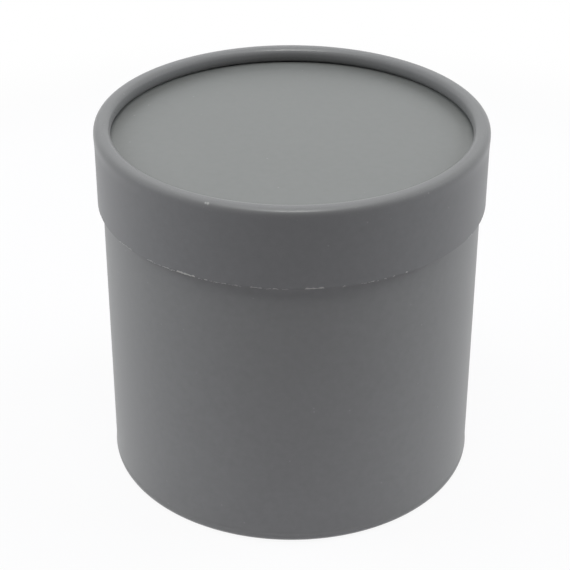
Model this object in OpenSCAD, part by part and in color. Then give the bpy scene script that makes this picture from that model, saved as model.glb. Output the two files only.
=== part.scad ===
// Round paperboard box with a slip-on lid.
// Each wall is a wound board tube covered in paper. One end of the tube is rolled inwards into a
// bead. A flat disc lies against the bead's inner side with its edge pressed into the wall, and a
// paper sleeve lines the wall from the disc to the raw cut edge at the other end.

/* [Box] */
// Overall height with the lid on, mm
box_h = 145; // [110:1:220]
// Outside diameter of the body wall, mm
body_d = 145.6; // [100:0.2:220]

/* [Lid] */
// Height of the lid, mm
lid_h = 31; // [22:1:60]
// Radial play between the lid and the body, mm
lid_play = 0.35; // [0.3:0.05:0.8]
// Height between the body's mouth and the lid's disc when the lid is on, mm
seat_gap = 0.05; // [0.05:0.05:0.5]

/* [Board and paper] */
// Thickness of the wound board in the walls, mm
board_t = 1.3; // [1:0.1:1.6]
// Thickness of the board in the discs, mm
disc_t = 1.6; // [1.2:0.1:2.4]
// Thickness of the covering and lining papers, mm
paper_t = 0.15; // [0.1:0.01:0.2]
// How far a disc's edge is pressed into the board of its wall, mm
disc_bite = 0.4; // [0.35:0.05:0.6]

/* [Rolled beads] */
// Diameter of the rolled beads, mm
bead_d = 6.4; // [6:0.2:7.6]
// How far the lid's bead stands out past its wall, mm
lid_proud = 0.2; // [0.2:0.1:0.8]
// How far the base bead stands out past its wall, mm
base_proud = 0.2; // [0.2:0.1:0.8]
// How much a bead is pressed flat where it bears on a disc or on the floor, mm
bead_press = 0.25; // [0.1:0.05:0.4]

/* [Hidden] */
$fn = 120;
// glue line between two layers
glue = 0.03;
// room between the rolled-in end and the wall it curls back to
tuck_gap = 0.15;

// depths below a wall's outer surface at which its layers start and end
board_from = paper_t + glue;
board_to = board_from + board_t;
lining_from = board_to + glue;
wall_t = lining_from + paper_t;

bead_r = bead_d / 2;
hollow_r = bead_r - board_to;
body_r = body_d / 2;
lid_r = body_r + lid_play + wall_t;
base_disc_r = body_r - board_to + disc_bite - glue;
lid_disc_r = lid_r - board_to + disc_bite - glue;

// a bead sweeps back into its wall on a slope of 7 in 24, which keeps the tangent points exact
slope_cos = 0.96;
slope_sin = 0.28;

// heights, from the floor up
stack_t = disc_t + 2 * paper_t + 2 * glue;
groove_h = stack_t + 2 * glue;
base_bead_z = bead_r - bead_press;
base_disc_z = bead_d - 2 * bead_press + glue;
lid_disc_z = box_h - bead_d + bead_press - glue - stack_t;
mouth_z = lid_disc_z - seat_gap;
lid_edge_z = box_h - lid_h;
lid_bead_z = box_h - bead_r;

paper_grey = [0.46, 0.46, 0.47];
board_buff = [0.80, 0.79, 0.76];
lining_pale = [0.88, 0.87, 0.84];

// The bead's filled section at one depth: a circle pressed flat on the disc's side, and on the end
// side too where end_press is above 0. The bead's centre is at the origin and its end faces +Y.
module bead_section(depth, end_press) {
    r = bead_r - depth;
    top = end_press > 0 ? r - end_press : bead_d;
    intersection() {
        circle(r);
        translate([-bead_d, bead_press - r])
            square([2 * bead_d, top + r - bead_press]);
    }
}

// One layer of the bead, from the slope where it leaves the wall round to the cut end tucked inside.
module bead_layer(from, to, proud, end_press) {
    tuck_x = min(0.45 * hollow_r, hollow_r - proud - tuck_gap);
    difference() {
        intersection() {
            bead_section(from, end_press);
            polygon([
                [0, 0],
                [bead_d * slope_cos, -bead_d * slope_sin],
                [bead_d, bead_d],
                [-bead_d, bead_d],
                [-bead_d, -bead_d],
                [tuck_x, -bead_d],
                [tuck_x, -0.4 * hollow_r]
            ]);
        }
        bead_section(to, end_press);
    }
}

// One layer of the hollow sweep that carries the wall out into the bead.
module sweep_layer(from, to, proud) {
    span = proud / (1 - slope_cos);
    centre = [span * slope_cos, -span * slope_sin];
    intersection() {
        translate(centre)
            difference() {
                circle(span - bead_r + to);
                circle(span - bead_r + from);
            }
        polygon([centre, [0, 0], [0, centre.y]]);
    }
}

// The flattened section of one layer of a rolled wall. The bead's centre is at height 0, its end faces
// up, and the wall reaches down from there to its raw cut edge.
module wall_section(wall_r, proud, reach, from, to, end_press) {
    sweep_h = proud / (1 - slope_cos) * slope_sin;
    translate([wall_r + proud - bead_r, 0]) {
        bead_layer(from, to, proud, end_press);
        sweep_layer(from, to, proud);
    }
    translate([wall_r - to, -reach])
        square([to - from, reach - sweep_h]);
}

// One layer of a rolled wall, turned about the axis. A bite above 0 cuts the groove next to the bead
// that the disc's edge is pressed into.
module rolled_wall(wall_r, proud, reach, from, to, bite, end_press = 0) {
    rotate_extrude()
        difference() {
            wall_section(wall_r, proud, reach, from, to, end_press);
            if (bite > 0)
                translate([wall_r - to - bite, bead_press - bead_r - groove_h])
                    square([2 * bite, groove_h]);
        }
}

// the body's wall, with its bead at the floor
module body_layer(from, to, bite = 0) {
    translate([0, 0, base_bead_z])
        mirror([0, 0, 1])
            rolled_wall(body_r, base_proud, mouth_z - base_bead_z, from, to, bite, bead_press);
}

// the lid's wall, with its bead at the top
module lid_layer(from, to, bite = 0) {
    translate([0, 0, lid_bead_z])
        rolled_wall(lid_r, lid_proud, lid_bead_z - lid_edge_z, from, to, bite);
}

// a paper sleeve inside a wall, between two heights
module lining_sleeve(wall_r, low, high) {
    translate([0, 0, low])
        rotate_extrude()
            translate([wall_r - wall_t, 0])
                square([paper_t, high - low]);
}

module disc_layer(r, z, t) {
    translate([0, 0, z])
        cylinder(r = r, h = t);
}

module body_wall_board() {
    color(board_buff)
        body_layer(board_from, board_to, disc_bite);
}

module body_wall_cover() {
    color(paper_grey)
        body_layer(0, paper_t);
}

module body_wall_lining() {
    color(lining_pale)
        lining_sleeve(body_r, base_disc_z + stack_t + glue, mouth_z);
}

module base_disc_board() {
    color(board_buff)
        disc_layer(base_disc_r, base_disc_z + paper_t + glue, disc_t);
}

module base_disc_cover() {
    color(paper_grey)
        disc_layer(base_disc_r, base_disc_z, paper_t);
}

module base_disc_lining() {
    color(lining_pale)
        disc_layer(base_disc_r, base_disc_z + stack_t - paper_t, paper_t);
}

module lid_wall_board() {
    color(board_buff)
        lid_layer(board_from, board_to, disc_bite);
}

module lid_wall_cover() {
    color(paper_grey)
        lid_layer(0, paper_t);
}

module lid_wall_lining() {
    color(lining_pale)
        lining_sleeve(lid_r, lid_edge_z, lid_disc_z - glue);
}

module lid_disc_board() {
    color(board_buff)
        disc_layer(lid_disc_r, lid_disc_z + paper_t + glue, disc_t);
}

module lid_disc_cover() {
    color(paper_grey)
        disc_layer(lid_disc_r, lid_disc_z + stack_t - paper_t, paper_t);
}

module lid_disc_lining() {
    color(lining_pale)
        disc_layer(lid_disc_r, lid_disc_z, paper_t);
}

body_wall_board();
body_wall_cover();
body_wall_lining();
base_disc_board();
base_disc_cover();
base_disc_lining();
lid_wall_board();
lid_wall_cover();
lid_wall_lining();
lid_disc_board();
lid_disc_cover();
lid_disc_lining();
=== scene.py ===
import math

import bpy
import numpy as np
from mathutils import Matrix, Vector


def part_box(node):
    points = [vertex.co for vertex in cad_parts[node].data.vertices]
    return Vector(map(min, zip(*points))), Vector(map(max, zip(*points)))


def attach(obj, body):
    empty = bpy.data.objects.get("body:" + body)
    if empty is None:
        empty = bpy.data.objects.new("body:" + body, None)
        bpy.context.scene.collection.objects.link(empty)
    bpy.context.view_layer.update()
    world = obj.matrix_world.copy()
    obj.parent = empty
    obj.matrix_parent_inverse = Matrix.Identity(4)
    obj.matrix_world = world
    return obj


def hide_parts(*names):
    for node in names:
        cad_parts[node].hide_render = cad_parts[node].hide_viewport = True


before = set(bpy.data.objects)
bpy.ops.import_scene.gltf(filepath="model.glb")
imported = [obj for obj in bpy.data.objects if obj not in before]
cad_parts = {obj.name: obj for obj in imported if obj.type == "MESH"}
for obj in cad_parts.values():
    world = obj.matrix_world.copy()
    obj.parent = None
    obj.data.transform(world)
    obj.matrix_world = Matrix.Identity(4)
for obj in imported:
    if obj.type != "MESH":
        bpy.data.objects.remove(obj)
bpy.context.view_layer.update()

mm = 0.001
fullTurn = 2 * math.pi

# how the board and papers of both walls are layered and rolled
roll = {
    "paper": 0.15 * mm,
    "beadRadius": 3.2 * mm,
    "board": 1.48 * mm,        # depth of the board's inner face below the outer paper
    "pressed": 0.25 * mm,      # flat on a bead where it bears on a disc or on the floor
    "tuckShare": 0.45,         # reach of the rolled-in end, as a share of the bead's hollow
    "rowCrowding": 2.5,        # power that crowds a wall's rows towards its raw edge
    "rubbedFrom": 1.5,         # stretch at which rolling starts to rub the paper (see wallLine)
    "lapEnd": 2.15,            # stretch at which the bead has pressed a lap flat
}


# turned and rolled surfaces

# Turns run from the front of the box (-Y) towards +X. Extra turns are added where a sharp step falls.
def ringTurns(count, extra=()):
    even = np.linspace(0, fullTurn, count, endpoint=False)
    return np.unique(np.concatenate([even, np.mod(extra, fullTurn)]))


# the turns of a lapped ring, with a column on each side of the lap's cut
def lapTurns(look):
    cut = look["lap"]["turn"]
    return ringTurns(look["columns"], [cut, cut + look["lap"]["cut"]])


# Random heights between 0 and 1 on evenly spaced turns, joined by straight lines all the way round.
def raggedNoise(turns, knots, seed):
    values = np.random.default_rng(seed).random(knots)
    return np.interp(turns, np.linspace(0, fullTurn, knots, endpoint=False), values, period=fullTurn)


# A section carried round the axis: point = (radius sin turn, -radius cos turn, height). A closed section
# gives a ring, and an open one starts and ends on the axis, where a fan of triangles closes each pole.
def turnedPiece(name, radius, height, turns, corners=(), marks=None, closed=True):
    rows, columns = radius.shape
    points = np.stack([radius * np.sin(turns), -radius * np.cos(turns), height], axis=-1).reshape(-1, 3)
    index = np.arange(rows * columns).reshape(rows, columns)
    right = np.roll(index, -1, axis=1)
    last = rows if closed else rows - 1
    quads = np.stack([index, right, np.roll(right, -1, axis=0), np.roll(index, -1, axis=0)], axis=-1)
    faces = quads[:last].reshape(-1, 4).tolist()
    if not closed:
        low, high = rows * columns, rows * columns + 1
        poles = [[0, 0, height[0].mean()], [0, 0, height[-1].mean()]]
        points = np.vstack([points, poles])
        faces += np.stack([np.full(columns, low), right[0], index[0]], axis=-1).tolist()
        faces += np.stack([index[-1], right[-1], np.full(columns, high)], axis=-1).tolist()
    mesh = bpy.data.meshes.new(name)
    mesh.from_pydata(points, [], faces)
    mesh.polygons.foreach_set("use_smooth", np.ones(len(mesh.polygons), bool))
    markSharp(mesh, columns, corners)
    for mark, values in (marks or {}).items():
        layer = mesh.attributes.new(mark, "FLOAT", "POINT")
        onGrid = np.broadcast_to(values, (rows, columns)).ravel()
        layer.data.foreach_set("value", np.pad(onGrid, (0, len(points) - len(onGrid))).astype(np.float32))
    return addPiece(name, mesh)


# Edges that run round the ring on a corner row keep their crease under smooth shading.
def markSharp(mesh, columns, corners):
    ends = np.empty(len(mesh.edges) * 2, np.int32)
    mesh.edges.foreach_get("vertices", ends)
    rowOfEnd = ends.reshape(-1, 2) // columns
    sharp = (rowOfEnd[:, 0] == rowOfEnd[:, 1]) & np.isin(rowOfEnd[:, 0], corners)
    layer = mesh.attributes.new("sharp_edge", "BOOLEAN", "EDGE")
    layer.data.foreach_set("value", sharp)


def addPiece(name, mesh):
    mesh.validate()
    piece = bpy.data.objects.new(name, mesh)
    bpy.context.scene.collection.objects.link(piece)
    return piece


# A rolled wall's line at one depth below its outer face, from the raw edge to the tucked end: straight
# along the wall, out through a hollow arc, then round the bead with its pressed flats. The bead is a
# circle on the disc's side and, towards its end, radius / (|cos|^n + |sin|^n)^(1/n), which squares its
# shoulders. The second array is the stretch: 0 to 1 on the wall, 1 to 2 on the arc, 2 to 3 on the bead.
def wallLine(wall, depth, rows):
    bead, proud, lean = roll["beadRadius"], wall["proud"], wall["lean"]
    span = proud / (1 - math.cos(lean))
    curl = bead - depth
    reach = abs(wall["beadHeight"] - wall["edgeHeight"])
    straight = np.linspace(0, 1, rows["wall"]) ** roll["rowCrowding"]
    arc = np.linspace(0, 1, rows["arc"] + 1)[1:-1]
    circle = np.linspace(0, 1, rows["bead"])
    arcTurn = math.pi - lean * arc
    arcRadius = span - bead + depth
    tuck = roll["tuckShare"] * (bead - roll["board"])
    beadTurn = -lean + (fullTurn - math.acos(tuck / curl) + lean) * circle
    beadCos, beadSin = np.cos(beadTurn), np.sin(beadTurn)
    power = np.where(beadSin > 0, wall["square"], 2.0)
    fullness = (np.abs(beadCos) ** power + np.abs(beadSin) ** power) ** (-1 / power)
    across = np.concatenate([
        np.full(len(straight), bead - proud - depth),
        span * math.cos(lean) + arcRadius * np.cos(arcTurn),
        curl * fullness * beadCos,
    ])
    along = np.concatenate([
        -reach + (reach - span * math.sin(lean)) * straight,
        -span * math.sin(lean) + arcRadius * np.sin(arcTurn),
        np.clip(curl * fullness * beadSin, roll["pressed"] - curl, curl - wall["endPressed"]),
    ])
    radius = wall["radius"] + proud - bead + across
    height = wall["beadHeight"] + wall["up"] * along
    return np.stack([radius, height], axis=1), np.concatenate([straight, 1 + arc, 2 + circle])


# Where the wrapped sheet overlaps itself: a soft rise on to the end beneath, then a sharp drop at the cut.
# height = step (3 rise squared - 2 rise cubed)
def lapShape(turns, lap):
    before = np.mod(lap["turn"] - turns, fullTurn)       # how far a column lies before the cut
    rise = np.clip((lap["width"] + lap["rise"] - before) / lap["rise"], 0, 1)
    return lap["step"] * rise * rise * (3 - 2 * rise)


# How far the cut edge is worn back: the deepest of the worn stretches, with soft ends and a ragged depth.
def wornEdge(turns, edge):
    degrees = np.degrees(np.mod(turns + math.pi, fullTurn) - math.pi)[None, :]
    start, end, depth = np.array(edge["worn"]).T[:, :, None]
    begun = np.clip((degrees - start) / edge["soft"] + 0.5, 0, 1)
    ending = np.clip((end - degrees) / edge["soft"] + 0.5, 0, 1)
    ragged = raggedNoise(turns, edge["knots"], edge["seed"])
    worn = (begun * ending * depth).max(axis=0) * (edge["shallow"] + (1 - edge["shallow"]) * ragged)
    return worn + edge["cut"] * raggedNoise(turns, edge["knots"] // 2, edge["seed"] + 1)


# The covering paper of a rolled wall: the outer line, then the inner line back again, carried round the
# axis, with the lap standing out along the outer line's normal and the raw edge worn back along the wall.
def rolledCover(name, wall, look):
    edge = look["edge"]
    outer, outerStretch = wallLine(wall, 0.0, look["outerRows"])
    inner, innerStretch = wallLine(wall, roll["paper"], look["innerRows"])
    section = np.vstack([outer, inner[::-1]])
    stretch = np.concatenate([outerStretch, innerStretch[::-1]])
    outside = np.arange(len(section)) < len(outer)
    slope = np.gradient(section, axis=0)
    slope /= np.linalg.norm(slope, axis=1)[:, None]
    normal = wall["up"] * np.stack([slope[:, 1], -slope[:, 0]], axis=1)
    lift = normal * (outside * np.clip(roll["lapEnd"] - stretch, 0, 1))[:, None]
    fromEdge = np.abs(section[:, 1] - wall["edgeHeight"])
    nearEdge = np.clip(1 - fromEdge / edge["reach"], 0, 1)
    corners = [0, len(outer) - 1, len(outer), len(section) - 1]
    order = np.arange(len(section)) if wall["up"] > 0 else np.arange(len(section))[::-1]
    turns = lapTurns(look)
    lap = lapShape(turns, look["lap"])
    worn = wornEdge(turns, edge)
    radius = section[:, 0, None] + lift[:, 0, None] * lap
    height = section[:, 1, None] + lift[:, 1, None] * lap + nearEdge[:, None] * wall["up"] * worn
    wear = worn / edge["bareAt"]
    frayed = np.clip(wear, edge["cleanCut"], 1)
    bared = edge["fuzz"] * np.clip(wear, *edge["band"])      # deeper wear bares a wider band
    marks = {
        "bend": np.clip(stretch - roll["rubbedFrom"], 0, 1)[order, None],
        "rawEdge": np.clip(1 - fromEdge[order, None] / bared, 0, 1) * frayed,
    }
    cornerRows = np.where(np.isin(order, corners))[0]
    return turnedPiece(name, radius[order], height[order], turns, cornerRows, marks)


# A paper sleeve inside a wall: a thin upright rectangle carried round the axis, lapped on its inner face.
def liningSleeve(name, node, look):
    low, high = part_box(node)
    up = np.linspace(0, 1, look["rows"])
    climb = low.z + (high.z - low.z) * (3 * up ** 2 - 2 * up ** 3)       # rows crowd towards both ends
    section = np.concatenate([
        np.stack([np.full(len(up), high.x), climb], axis=1),
        np.stack([np.full(len(up), high.x - roll["paper"]), climb[::-1]], axis=1),
    ])
    inside = np.arange(len(section)) >= len(up)
    turns = lapTurns(look)
    radius = section[:, 0, None] - inside[:, None] * lapShape(turns, look["lap"])
    height = section[:, 1, None] + np.zeros(len(turns))
    corners = [0, len(up) - 1, len(up), len(section) - 1]
    nearest = np.minimum(section[:, 1] - low.z, high.z - section[:, 1])
    marks = {"rawEdge": np.clip(1 - nearest / look["fuzz"], 0, 1)[:, None]}
    return turnedPiece(name, radius, height, turns, corners, marks)


# the low waves that glue leaves in a disc's paper
discWaves = {
    "orders": (1, 2, 3),       # how many waves go round
    "phase": 1.7,
    "calm": 0.12,              # share of the radius over which they die away at the rim
    "rowCrowding": 0.8,        # power that crowds the rows towards the rim
}


# A paper disc: out along its lower face, up its rim and back along its upper face. The shown face carries
# the mean of cos(k turn + k phase) sin(pi share (1 + k / 2)) over the orders k, where share is the
# radius as a share of the disc's own.
def paperDisc(name, node, look):
    low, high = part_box(node)
    out = np.linspace(0, 1, look["rows"] + 1)[1:] ** discWaves["rowCrowding"]
    section = np.concatenate([
        np.stack([high.x * out, np.full(len(out), low.z)], axis=1),
        np.stack([high.x * out[::-1], np.full(len(out), high.z)], axis=1),
    ])
    turns = ringTurns(look["columns"])
    share = section[:, 0, None] / high.x
    shown = (np.arange(len(section)) >= len(out)) == (look["faces"] > 0)
    calm = np.clip((1 - share) / discWaves["calm"], 0, 1)
    orders, phase = discWaves["orders"], discWaves["phase"]
    wave = sum(np.cos(k * turns + phase * k) * np.sin(math.pi * share * (1 + 0.5 * k)) for k in orders)
    rise = 0.5 + 0.5 * (wave / len(orders))
    height = section[:, 1, None] + look["faces"] * look["wave"] * shown[:, None] * calm * rise
    radius = section[:, 0, None] + np.zeros(len(turns))
    return turnedPiece(name, radius, height, turns, [len(out) - 1, len(out)], closed=False)


# the two walls, with their places read from the frame

lidRim = {
    "proud": 0.2 * mm,             # how far the bead stands out past its wall
    "up": 1,                       # 1 where the bead is on top, -1 where it is at the foot
    "endPressed": 0.0,             # flat on the bead's end
    "lean": math.asin(0.06),       # slope on which the bead leaves its hollow sweep
    "square": 2.9,                 # power of the bead's section: 2 is round, more is squarer
}
bodyRim = {
    "proud": 0.2 * mm,
    "up": -1,
    "endPressed": roll["pressed"],
    "lean": math.asin(0.28),
    "square": 2.0,
}


def wallPlace(node, rim):
    low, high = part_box(node)
    bead, onTop = roll["beadRadius"], rim["up"] > 0
    return {
        **rim,
        "radius": high.x - rim["proud"],
        "beadHeight": high.z - bead if onTop else low.z + bead - rim["endPressed"],
        "edgeHeight": low.z if onTop else high.z,
    }


lidWall = wallPlace("lid_wall_cover", lidRim)
bodyWall = wallPlace("body_wall_cover", bodyRim)

# how both covering sheets overlap themselves and fray at their cut edge
coverLap = {
    "width": math.radians(9),
    "rise": math.radians(1.6),
    "step": 0.12 * mm,
    "cut": 0.0006,             # turn in which the step drops
}
coverEdge = {
    "reach": 2.2 * mm,         # height over which the wall gives way to wear
    "fuzz": 0.35 * mm,
    "band": (0.5, 2.0),        # narrowest and widest bared band, in fuzz heights
    "cut": 0.06 * mm,          # raggedness of an unworn cut
    "bareAt": 0.25 * mm,       # wear at which the pale core shows in full
    "cleanCut": 0.3,           # how much of it shows on an unworn cut
    "shallow": 0.35,           # least depth of a worn stretch, as a share of its full depth
}

lidCoverLook = {
    "columns": 1200,
    "outerRows": {"wall": 14, "arc": 6, "bead": 32},
    "innerRows": {"wall": 7, "arc": 3, "bead": 14},
    "lap": {**coverLap, "turn": math.radians(214)},
    "edge": {
        **coverEdge,
        "knots": 700,
        "seed": 11,
        "soft": 0.5,           # degrees over which a worn stretch begins and ends
        # worn stretches of the lower edge: first degree, last degree, depth
        "worn": [
            (-57.5, -51.0, 0.28 * mm), (-44.0, -33.5, 0.26 * mm), (-33.0, -27.2, 0.75 * mm),
            (-26.3, -25.2, 0.28 * mm), (-24.4, -23.2, 0.3 * mm), (-22.9, -19.5, 0.22 * mm),
            (-19.3, -17.8, 0.3 * mm), (-17.4, -14.0, 0.22 * mm), (-11.3, -7.9, 0.24 * mm),
            (-7.2, -5.3, 0.22 * mm), (-5.0, -3.7, 0.35 * mm), (-2.7, -0.8, 0.22 * mm),
            (3.5, 8.8, 0.55 * mm), (14.0, 15.2, 0.24 * mm), (18.4, 23.2, 0.2 * mm),
            (23.8, 24.4, 0.28 * mm), (26.0, 27.0, 0.3 * mm), (28.7, 29.4, 0.55 * mm),
            (32.9, 33.8, 0.5 * mm), (61.0, 63.2, 0.35 * mm), (88.0, 92.5, 0.3 * mm),
            (117.0, 119.0, 0.4 * mm), (141.0, 148.0, 0.25 * mm), (169.0, 171.5, 0.35 * mm),
            (-166.0, -160.5, 0.3 * mm), (-139.0, -137.6, 0.4 * mm), (-118.0, -111.0, 0.25 * mm),
            (-92.0, -89.4, 0.35 * mm), (-74.0, -71.5, 0.3 * mm),
        ],
    },
}
lidCover = rolledCover("lidCover", lidWall, lidCoverLook)

bodyCoverLook = {
    "columns": 640,
    "outerRows": {"wall": 10, "arc": 5, "bead": 32},
    "innerRows": {"wall": 8, "arc": 3, "bead": 14},
    "lap": {**coverLap, "turn": math.radians(196)},
    "edge": {
        **coverEdge,
        "knots": 500,
        "seed": 23,
        "soft": 0.7,
        "worn": [
            (-128.0, -121.0, 0.2 * mm), (-64.0, -61.0, 0.25 * mm), (-18.0, -12.0, 0.2 * mm),
            (37.0, 40.0, 0.3 * mm), (96.0, 103.0, 0.2 * mm), (151.0, 154.0, 0.25 * mm),
        ],
    },
}
bodyCover = rolledCover("bodyCover", bodyWall, bodyCoverLook)
print("rolled covers made:", len(lidCover.data.polygons) + len(bodyCover.data.polygons), "faces")

liningLap = {"width": math.radians(8), "rise": math.radians(1.5), "cut": 0.0006}

lidLiningLook = {
    "columns": 360,
    "rows": 10,
    "fuzz": 0.4 * mm,
    "lap": {**liningLap, "turn": math.radians(70), "step": 0.1 * mm},
}
lidLining = liningSleeve("lidLining", "lid_wall_lining", lidLiningLook)

bodyLiningLook = {
    "columns": 360,
    "rows": 16,
    "fuzz": 0.4 * mm,
    "lap": {**liningLap, "turn": math.radians(38), "step": 0.12 * mm},
}
bodyLining = liningSleeve("bodyLining", "body_wall_lining", bodyLiningLook)

# faces is 1 where the upper side is the one that shows, and -1 where the lower side is
lidDiscCoverLook = {"columns": 240, "rows": 28, "faces": 1, "wave": 0.05 * mm}
lidDiscCover = paperDisc("lidDiscCover", "lid_disc_cover", lidDiscCoverLook)

lidDiscLiningLook = {"columns": 180, "rows": 16, "faces": -1, "wave": 0.03 * mm}
lidDiscLining = paperDisc("lidDiscLining", "lid_disc_lining", lidDiscLiningLook)

baseDiscCoverLook = {"columns": 180, "rows": 16, "faces": -1, "wave": 0.05 * mm}
baseDiscCover = paperDisc("baseDiscCover", "base_disc_cover", baseDiscCoverLook)

baseDiscLiningLook = {"columns": 180, "rows": 20, "faces": 1, "wave": 0.05 * mm}
baseDiscLining = paperDisc("baseDiscLining", "base_disc_lining", baseDiscLiningLook)
print("linings and discs made")


fibreLook = {
    "perDegree": 2.2,
    "seed": 5,
    "length": (0.25 * mm, 0.9 * mm),
    "thick": (0.03 * mm, 0.06 * mm),
    "sway": (-1, 1),
    "fall": (0.1, 0.7),
    "away": (0.0, 0.25),
    "rootDepth": 0.04 * mm,    # how far the root lies inside the wall's face
    "rootRise": 0.5,           # height of the root, as a share of the wear there
    "blunt": 1.03,             # thickness = thick (blunt - s) to the taper's power
    "taper": 0.7,
    "rows": 5,
    "sides": 3,
}


# Loose fibres on the lid's worn edge: thin three-sided tapers, each on a parabola that leaves the edge along
# it, hangs down and lifts away from the wall. With s from 0 to 1,
# point = root + length (s sway along the edge + s fall downwards + s squared away outwards).
def looseFibres(name, wall, cover, look):
    rng = np.random.default_rng(look["seed"])
    start, end = np.array(cover["edge"]["worn"])[:, :2].T
    count = np.ceil((end - start) * look["perDegree"]).astype(int)
    turn = np.radians(np.repeat(start, count) + rng.random(count.sum()) * np.repeat(end - start, count))
    total = len(turn)
    length = rng.uniform(*look["length"], total)
    thick = rng.uniform(*look["thick"], total)
    sway = rng.uniform(*look["sway"], total)
    fall = rng.uniform(*look["fall"], total)
    away = rng.uniform(*look["away"], total)
    outward = np.stack([np.sin(turn), -np.cos(turn), np.zeros(total)], axis=1)
    sideways = np.stack([np.cos(turn), np.sin(turn), np.zeros(total)], axis=1)
    root = outward * (wall["radius"] - look["rootDepth"])
    root[:, 2] = wall["edgeHeight"] + wornEdge(turn, cover["edge"]) * look["rootRise"]
    s = np.linspace(0, 1, look["rows"])[None, :, None]
    heading = sideways * sway[:, None] + np.array([0, 0, -1.0]) * fall[:, None]
    lifting = outward * away[:, None]
    path = root[:, None] + length[:, None, None] * (s * heading[:, None] + s * s * lifting[:, None])
    flank = np.cross(heading / np.linalg.norm(heading, axis=1)[:, None], outward)
    side = np.linspace(0, fullTurn, look["sides"], endpoint=False)
    ring = np.cos(side)[None, :, None] * outward[:, None] + np.sin(side)[None, :, None] * flank[:, None]
    taper = thick[:, None, None, None] * (look["blunt"] - s[..., None]) ** look["taper"]
    points = path[:, :, None] + taper * ring[:, None]
    rows, sides = look["rows"], look["sides"]
    index = np.arange(total * rows * sides).reshape(total, rows, sides)
    right = np.roll(index, -1, axis=2)
    quads = np.stack([index[:, :-1], right[:, :-1], right[:, 1:], index[:, 1:]], axis=-1).reshape(-1, 4)
    faces = quads.tolist() + index[:, 0, ::-1].tolist() + index[:, -1].tolist()
    mesh = bpy.data.meshes.new(name)
    mesh.from_pydata(points.reshape(-1, 3), [], faces)
    return addPiece(name, mesh)


lidFibres = looseFibres("lidFibres", lidWall, lidCoverLook, fibreLook)
print("loose fibres made:", len(lidFibres.data.polygons), "faces")


# materials: a noise is given as its scale, detail and roughness, and a bump as its strength and depth

def newGroup(name, inputs, outputs):
    group = bpy.data.node_groups.new(name, "ShaderNodeTree")
    for label, kind in inputs:
        group.interface.new_socket(label, in_out="INPUT", socket_type=kind)
    for label in outputs:
        group.interface.new_socket(label, in_out="OUTPUT", socket_type="NodeSocketFloat")
    return group, group.nodes.new("NodeGroupInput"), group.nodes.new("NodeGroupOutput")


# one calculating node, with numbers set on its sockets and sockets linked to them
def calc(tree, operation, *values):
    node = tree.nodes.new("ShaderNodeMath")
    node.operation = operation
    for socket, value in zip(node.inputs, values):
        if isinstance(value, (int, float)):
            socket.default_value = value
        else:
            tree.links.new(value, socket)
    return node.outputs[0]


# one vector node, with a fixed second vector where one is given
def vectorCalc(tree, operation, value, fixed=None):
    node = tree.nodes.new("ShaderNodeVectorMath")
    node.operation = operation
    tree.links.new(value, node.inputs[0])
    if fixed:
        node.inputs[1].default_value = fixed
    return node


def noise(tree, place, scale, detail, rough):
    node = tree.nodes.new("ShaderNodeTexNoise")
    node.inputs["Scale"].default_value = scale
    node.inputs["Detail"].default_value = detail
    node.inputs["Roughness"].default_value = rough
    tree.links.new(place, node.inputs["Vector"])
    return node.outputs[0]


# a value carried smoothly from one range to 0 and 1
def soften(tree, value, low, high):
    node = tree.nodes.new("ShaderNodeMapRange")
    node.interpolation_type = "SMOOTHSTEP"
    node.inputs["From Min"].default_value = low
    node.inputs["From Max"].default_value = high
    tree.links.new(value, node.inputs["Value"])
    return node.outputs[0]


# a value from 0 to 1 carried straight on to another range
def spread(tree, value, low, high):
    return calc(tree, "ADD", calc(tree, "MULTIPLY", value, high - low), low)


# sockets 6 and 7 of the node are its two colours, and output 2 is the blended one
def blendColour(tree, share, first, second):
    node = tree.nodes.new("ShaderNodeMix")
    node.data_type = "RGBA"
    tree.links.new(share, node.inputs[0])
    for socket, value in ((node.inputs[6], first), (node.inputs[7], second)):
        if isinstance(value, tuple):
            socket.default_value = (*value, 1)
        else:
            tree.links.new(value, socket)
    return node.outputs[2]


grainLook = {
    "fine": (2300, 3, 0.6),
    "cloud": (330, 2, 0.6),
    "patch": (21, 2, 0.45),
    "cells": 230,
    "fleckChosen": (0.86, 0.9),      # a cell's own number, past which it holds a fleck
    "fleckRadius": (0.11, 0.05),
    "fineHeight": 0.6,               # share of the fine noise in the height, beside the clouds
}


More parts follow.
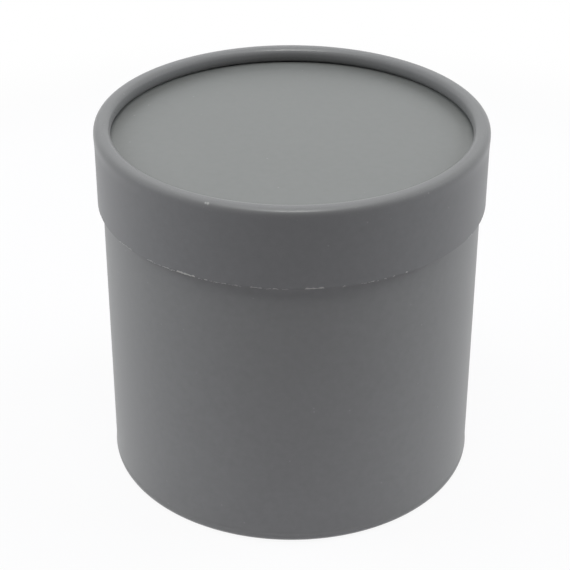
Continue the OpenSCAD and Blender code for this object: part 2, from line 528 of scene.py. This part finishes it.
# Paper seen close: fine fibre noise, soft clouds and broad patches make the tone, and a few cells of a
# cell pattern hold a fleck.
def paperGrainGroup(look):
    inputs = [
        ("Place", "NodeSocketVector"),
        ("Fine", "NodeSocketFloat"),
        ("Cloud", "NodeSocketFloat"),
        ("Patch", "NodeSocketFloat"),
    ]
    group, source, target = newGroup("paperGrain", inputs, ["Tone", "Flecks", "Height"])
    place = source.outputs["Place"]
    fine = noise(group, place, *look["fine"])
    cloud = noise(group, place, *look["cloud"])
    patch = noise(group, place, *look["patch"])
    tone = 0.5
    for grain, share in ((fine, "Fine"), (cloud, "Cloud"), (patch, "Patch")):
        swing = calc(group, "MULTIPLY", calc(group, "SUBTRACT", grain, 0.5), source.outputs[share])
        tone = calc(group, "ADD", swing, tone)
    cells = group.nodes.new("ShaderNodeTexVoronoi")
    cells.inputs["Scale"].default_value = look["cells"]
    group.links.new(place, cells.inputs["Vector"])
    tint = group.nodes.new("ShaderNodeSeparateColor")
    group.links.new(cells.outputs["Color"], tint.inputs[0])
    chosen = soften(group, tint.outputs[0], *look["fleckChosen"])
    fleck = soften(group, cells.outputs["Distance"], *look["fleckRadius"])
    fineHeight = calc(group, "MULTIPLY", fine, look["fineHeight"])
    cloudHeight = calc(group, "MULTIPLY", cloud, 1 - look["fineHeight"])
    group.links.new(tone, target.inputs["Tone"])
    group.links.new(calc(group, "MULTIPLY", chosen, fleck), target.inputs["Flecks"])
    group.links.new(calc(group, "ADD", fineHeight, cloudHeight), target.inputs["Height"])
    return group


bareEdgeLook = {"broken": (900, 3, 0.6), "shown": (0.4, 1.1)}


# Bare fibre along a cut edge: the edge mark broken up by fine noise.
def bareEdgeGroup(look):
    inputs = [("Place", "NodeSocketVector"), ("Edge", "NodeSocketFloat")]
    group, source, target = newGroup("bareEdge", inputs, ["Bare"])
    broken = noise(group, source.outputs["Place"], *look["broken"])
    reach = calc(group, "ADD", source.outputs["Edge"], calc(group, "SUBTRACT", broken, 0.5))
    group.links.new(soften(group, reach, *look["shown"]), target.inputs["Bare"])
    return group


paperGrain = paperGrainGroup(grainLook)
bareEdge = bareEdgeGroup(bareEdgeLook)


def newMaterial(name):
    material = bpy.data.materials.new(name)
    material.use_nodes = True
    tree = material.node_tree
    place = tree.nodes.new("ShaderNodeTexCoord").outputs["Object"]
    return material, tree, tree.nodes["Principled BSDF"], place


def placeGroup(tree, group, place, **values):
    node = tree.nodes.new("ShaderNodeGroup")
    node.node_tree = group
    tree.links.new(place, node.inputs["Place"])
    for label, value in values.items():
        if isinstance(value, (int, float)):
            node.inputs[label].default_value = value
        else:
            tree.links.new(value, node.inputs[label])
    return node


def readMark(tree, mark):
    node = tree.nodes.new("ShaderNodeAttribute")
    node.attribute_name = mark
    return node.outputs["Fac"]


# joins a finish's colour, roughness and height to its shader
def joinFinish(tree, shader, look, colour, rough, height):
    tree.links.new(colour, shader.inputs["Base Color"])
    tree.links.new(rough, shader.inputs["Roughness"])
    shader.inputs["Specular IOR Level"].default_value = look["specular"]
    strength, depth = look["bump"]
    bump = tree.nodes.new("ShaderNodeBump")
    bump.inputs["Strength"].default_value = strength
    bump.inputs["Distance"].default_value = depth
    tree.links.new(height, bump.inputs["Height"])
    tree.links.new(bump.outputs["Normal"], shader.inputs["Normal"])


coverPaperLook = {
    "dark": (0.190, 0.188, 0.188),
    "light": (0.218, 0.216, 0.216),
    "fleck": (0.30, 0.30, 0.30),
    "core": (0.72, 0.71, 0.69),
    "rough": (0.36, 0.44),
    "specular": 0.5,
    "grain": {"Fine": 0.55, "Cloud": 1.2, "Patch": 0.6},
    "bump": (0.35, 0.02 * mm),
    "burnished": 0.1,              # how much smoother rolling leaves the bead
    "unrubbed": 0.05,              # share of the grain and clouds that it leaves there
    "lifted": (1500, 2, 0.6),      # the fibres that it lifts
    "liftedFrom": (0.62, 0.74),
    # how strongly lifted fibres, chips, the bare edge and flecks show
    "liftedShown": 0.1,
    "chipShown": 0.4,
    "bareShown": 0.8,
    "fleckShown": 0.5,
    "chipCore": 0.2,               # share of a chip's radius inside which it shows in full
    # small chips that show the pale core: place in millimetres, radius in millimetres
    "chips": [
        (-28.81, -68.37, 144.45, 0.75), (-29.6, -68.03, 144.45, 0.6), (-64.8, -25.6, 144.62, 0.4),
        (-56.4, 25.7, 138.85, 0.3), (41.69, 60.23, 144.89, 0.35),
    ],
}

# the sheet round the lid's wall is coloured deeper and faintly bluer than the body's: part of the depth is
# its own tone, while the rest of the depth and the blue tint are painted shade of the lid's front. Rolling
# has left its bead smoother
lidWallPaperLook = {
    **coverPaperLook,
    "dark": (0.161, 0.159, 0.163),
    "light": (0.186, 0.184, 0.188),
    "burnished": 0.125,
}

# the flat sheet on the lid's disc is about as deep, with a little more sheen, and its faint green tint is a
# painted tint of light on its brightly lit face
lidDiscPaperLook = {
    **coverPaperLook,
    "dark": (0.157, 0.159, 0.157),
    "light": (0.183, 0.185, 0.183),
    "specular": 0.65,
}


def coverPaperMaterial(name, look):
    material, tree, shader, place = newMaterial(name)
    grain = placeGroup(tree, paperGrain, place, **look["grain"])
    bend = readMark(tree, "bend")
    bare = placeGroup(tree, bareEdge, place, Edge=readMark(tree, "rawEdge")).outputs["Bare"]
    # rolling lifts a few fibres on the bead and rubs its grain and clouds down
    lifted = soften(tree, noise(tree, place, *look["lifted"]), *look["liftedFrom"])
    kept = spread(tree, bend, 1.0, look["unrubbed"])
    height = calc(tree, "MULTIPLY", grain.outputs["Height"], kept)
    swing = calc(tree, "MULTIPLY", calc(tree, "SUBTRACT", grain.outputs["Tone"], 0.5), kept)
    tone = calc(tree, "ADD", swing, 0.5)
    scuffs = calc(tree, "MULTIPLY", calc(tree, "MULTIPLY", lifted, bend), look["liftedShown"])
    for x, y, z, radius in look["chips"]:
        apart = vectorCalc(tree, "DISTANCE", place, (x * mm, y * mm, z * mm)).outputs["Value"]
        chip = soften(tree, apart, radius * mm, look["chipCore"] * radius * mm)
        scuffs = calc(tree, "MAXIMUM", scuffs, calc(tree, "MULTIPLY", chip, look["chipShown"]))
    worn = calc(tree, "MAXIMUM", calc(tree, "MULTIPLY", bare, look["bareShown"]), scuffs)
    flecks = calc(tree, "MULTIPLY", grain.outputs["Flecks"], look["fleckShown"])
    colour = blendColour(tree, tone, look["dark"], look["light"])
    colour = blendColour(tree, flecks, colour, look["fleck"])
    colour = blendColour(tree, worn, colour, look["core"])
    burnished = calc(tree, "MULTIPLY", bend, look["burnished"])
    rough = calc(tree, "SUBTRACT", spread(tree, tone, *look["rough"]), burnished)
    joinFinish(tree, shader, look, colour, rough, height)
    return material


liningPaperLook = {
    "dark": (0.66, 0.64, 0.60),
    "light": (0.74, 0.72, 0.68),
    "fleck": (0.52, 0.49, 0.44),
    "core": (0.80, 0.79, 0.76),
    "rough": (0.62, 0.74),
    "specular": 0.3,
    "grain": {"Fine": 0.6, "Cloud": 0.6, "Patch": 0.5},
    "bump": (0.4, 0.03 * mm),
    "bareShown": 0.6,
    "fleckShown": 0.7,
}


def liningPaperMaterial(look):
    material, tree, shader, place = newMaterial("liningPaper")
    grain = placeGroup(tree, paperGrain, place, **look["grain"])
    bare = placeGroup(tree, bareEdge, place, Edge=readMark(tree, "rawEdge")).outputs["Bare"]
    flecks = calc(tree, "MULTIPLY", grain.outputs["Flecks"], look["fleckShown"])
    colour = blendColour(tree, grain.outputs["Tone"], look["dark"], look["light"])
    colour = blendColour(tree, flecks, colour, look["fleck"])
    colour = blendColour(tree, calc(tree, "MULTIPLY", bare, look["bareShown"]), colour, look["core"])
    rough = spread(tree, grain.outputs["Tone"], *look["rough"])
    joinFinish(tree, shader, look, colour, rough, grain.outputs["Height"])
    return material


rawBoardLook = {
    "dark": (0.50, 0.48, 0.44),
    "light": (0.70, 0.68, 0.64),
    "plyDark": (0.42, 0.40, 0.36),
    "fleck": (0.36, 0.33, 0.29),
    "rough": (0.78, 0.92),
    "specular": 0.2,
    "grain": {"Fine": 1.0, "Cloud": 0.9, "Patch": 0.4},
    "bump": (0.5, 0.05 * mm),
    "ply": 0.32 * mm,
    "plyLine": (0.14, 0.02),       # outer and inner half width of a ply's line, in plies
    "plyShown": 0.6,
    "plySunk": 0.4,
    "wander": (300, 2, 0.5),
    "wanderBy": 0.15 * mm,
}


def rawBoardMaterial(look):
    material, tree, shader, place = newMaterial("rawBoard")
    grain = placeGroup(tree, paperGrain, place, **look["grain"])
    # the plies of the wound tube show on its cut edge as rings, from the distance to the axis
    flat = vectorCalc(tree, "MULTIPLY", place, (1, 1, 0)).outputs["Vector"]
    outward = vectorCalc(tree, "LENGTH", flat).outputs["Value"]
    wander = calc(tree, "MULTIPLY", noise(tree, place, *look["wander"]), look["wanderBy"])
    plies = calc(tree, "DIVIDE", calc(tree, "ADD", outward, wander), look["ply"])
    line = soften(tree, calc(tree, "PINGPONG", plies, 0.5), *look["plyLine"])
    colour = blendColour(tree, grain.outputs["Tone"], look["dark"], look["light"])
    colour = blendColour(tree, calc(tree, "MULTIPLY", line, look["plyShown"]), colour, look["plyDark"])
    colour = blendColour(tree, grain.outputs["Flecks"], colour, look["fleck"])
    rough = spread(tree, grain.outputs["Tone"], *look["rough"])
    sunk = calc(tree, "MULTIPLY", line, look["plySunk"])
    joinFinish(tree, shader, look, colour, rough, calc(tree, "SUBTRACT", grain.outputs["Height"], sunk))
    return material


fibreStrandLook = {
    "dark": (0.66, 0.65, 0.63),
    "light": (0.86, 0.85, 0.83),
    "rough": (0.6, 0.8),
    "specular": 0.3,
    "grain": {"Fine": 1.2, "Cloud": 0.8, "Patch": 0.3},
    "bump": (0.3, 0.02 * mm),
}


def fibreStrandMaterial(look):
    material, tree, shader, place = newMaterial("fibreStrand")
    grain = placeGroup(tree, paperGrain, place, **look["grain"])
    colour = blendColour(tree, grain.outputs["Tone"], look["dark"], look["light"])
    rough = spread(tree, grain.outputs["Tone"], *look["rough"])
    joinFinish(tree, shader, look, colour, rough, grain.outputs["Height"])
    return material


coverPaper = coverPaperMaterial("coverPaper", coverPaperLook)
lidWallPaper = coverPaperMaterial("lidWallPaper", lidWallPaperLook)
lidDiscPaper = coverPaperMaterial("lidDiscPaper", lidDiscPaperLook)
liningPaper = liningPaperMaterial(liningPaperLook)
rawBoard = rawBoardMaterial(rawBoardLook)
fibreStrand = fibreStrandMaterial(fibreStrandLook)

# each piece with its finish, its body, its material slot and the node it stands for
dressing = [
    (lidCover, lidWallPaper, "lid", "cover_paper", "lid_wall_cover"),
    (lidDiscCover, lidDiscPaper, "lid", "cover_paper", "lid_disc_cover"),
    (lidLining, liningPaper, "lid", "lining_paper", "lid_wall_lining"),
    (lidDiscLining, liningPaper, "lid", "lining_paper", "lid_disc_lining"),
    (lidFibres, fibreStrand, "lid", "cover_paper", None),
    (bodyCover, coverPaper, "base", "cover_paper", "body_wall_cover"),
    (baseDiscCover, coverPaper, "base", "cover_paper", "base_disc_cover"),
    (bodyLining, liningPaper, "base", "lining_paper", "body_wall_lining"),
    (baseDiscLining, liningPaper, "base", "lining_paper", "base_disc_lining"),
]
for piece, finish, body, slotName, node in dressing:
    piece.data.materials.append(finish)
    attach(piece, body)
    if node:
        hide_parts(node)

# the boards keep their solids and get their finish
boards = ("lid_wall_board", "lid_disc_board", "body_wall_board", "base_disc_board")
for node in boards:
    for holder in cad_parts[node].material_slots:
        holder.material = rawBoard
print("materials placed on", len(dressing), "pieces and", len(boards), "boards")


# floor, world, lamps and camera

stageLook = {
    "halfWidth": 4.0,
    "drop": 0.05 * mm,
    "near": (0.77, 0.75, 0.81),      # tone of the floor round the box
    "far": (0.2, 0.2, 0.2),          # tone beyond it, which throws less light back on the walls
    "fade": (0.3, 0.45),             # distances from the axis between which one turns into the other
    "rough": 0.9,
    "shownWhite": 0.92,      # share of plain white in the near floor as the camera and reflections see it
    "ambient": 0.0,          # level of the world for every other ray
}


def whiteRays(tree):
    rays = tree.nodes.new("ShaderNodeLightPath")
    shown = calc(tree, "MAXIMUM", rays.outputs["Is Camera Ray"], rays.outputs["Is Glossy Ray"])
    return calc(tree, "MAXIMUM", shown, rays.outputs["Is Transmission Ray"])


def plainFloor(look):
    w, z = look["halfWidth"], -look["drop"]
    mesh = bpy.data.meshes.new("floor")
    mesh.from_pydata([(-w, -w, z), (w, -w, z), (w, w, z), (-w, w, z)], [], [(0, 1, 2, 3)])
    material, tree, shader, place = newMaterial("palePaperFloor")
    away = vectorCalc(tree, "LENGTH", place).outputs["Value"]
    fade = soften(tree, away, *look["fade"])
    tree.links.new(blendColour(tree, fade, look["near"], look["far"]), shader.inputs["Base Color"])
    shader.inputs["Roughness"].default_value = look["rough"]
    shader.inputs["Specular IOR Level"].default_value = 0.0
    white = tree.nodes.new("ShaderNodeEmission")
    shown = tree.nodes.new("ShaderNodeMixShader")
    share = spread(tree, fade, look["shownWhite"], 1.0)
    tree.links.new(calc(tree, "MULTIPLY", whiteRays(tree), share), shown.inputs[0])
    tree.links.new(shader.outputs[0], shown.inputs[1])
    tree.links.new(white.outputs[0], shown.inputs[2])
    tree.links.new(shown.outputs[0], tree.nodes["Material Output"].inputs["Surface"])
    mesh.materials.append(material)
    return addPiece("floor", mesh)


plainFloor(stageLook)

world = bpy.data.worlds.new("studio")
world.use_nodes = True
bpy.context.scene.world = world
backdrop = world.node_tree.nodes["Background"]
backdrop.inputs["Color"].default_value = (1, 1, 1, 1)
level = spread(world.node_tree, whiteRays(world.node_tree), stageLook["ambient"], 1.0)
world.node_tree.links.new(level, backdrop.inputs["Strength"])

lamps = {
    "key": {"place": (0.0, -0.4, 1.38), "size": 0.45, "watts": 5.5, "colour": (0.98, 1.0, 0.965)},
    "top": {"place": (0.0, 0.15, 1.5), "size": 1.2, "watts": 4.4, "colour": (0.98, 1.0, 0.965)},
    "left": {"place": (-1.1, 0.03, 0.85), "size": 0.8, "watts": 11.0, "colour": (0.95, 1.0, 1.02)},
    "right": {"place": (1.1, 0.08, 0.85), "size": 0.8, "watts": 10.7, "colour": (0.95, 1.0, 1.02)},
    "back": {"place": (0.0, 1.1, 0.75), "size": 0.8, "watts": 4.0, "colour": (0.95, 1.0, 1.02)},
}
lampAim = Vector((0, 0, 0.1))
glareFree = ("left", "right", "back")    # these light the paper and leave no glare on it
for name, look in lamps.items():
    light = bpy.data.lights.new(name, "AREA")
    light.energy = look["watts"]
    light.size = look["size"]
    light.color = look["colour"]
    lamp = bpy.data.objects.new(name, light)
    lamp.location = look["place"]
    lamp.rotation_euler = (lampAim - Vector(look["place"])).to_track_quat("-Z", "Y").to_euler()
    lamp.visible_camera = False
    lamp.visible_glossy = name not in glareFree
    bpy.context.scene.collection.objects.link(lamp)

cameraLook = {
    "place": (0.0, -0.5789, 0.4103),
    "downward": 0.5346,      # radians below the horizon
    "rolled": 0.004,
    "sensor": 36.0,
    "lens": 105.8,
    "shift": (-0.0112, 0.0176),
}
cameraData = bpy.data.cameras.new("camera")
cameraData.sensor_width = cameraLook["sensor"]
cameraData.lens = cameraLook["lens"]
cameraData.shift_x, cameraData.shift_y = cameraLook["shift"]
camera = bpy.data.objects.new("camera", cameraData)
cameraTilt = Matrix.Rotation(math.pi / 2 - cameraLook["downward"], 4, "X")
cameraRoll = Matrix.Rotation(cameraLook["rolled"], 4, "Z")
camera.matrix_world = Matrix.Translation(cameraLook["place"]) @ cameraTilt @ cameraRoll
bpy.context.scene.collection.objects.link(camera)
bpy.context.scene.camera = camera
bpy.context.scene.view_settings.view_transform = "Standard"
print("stage, lamps and camera set")
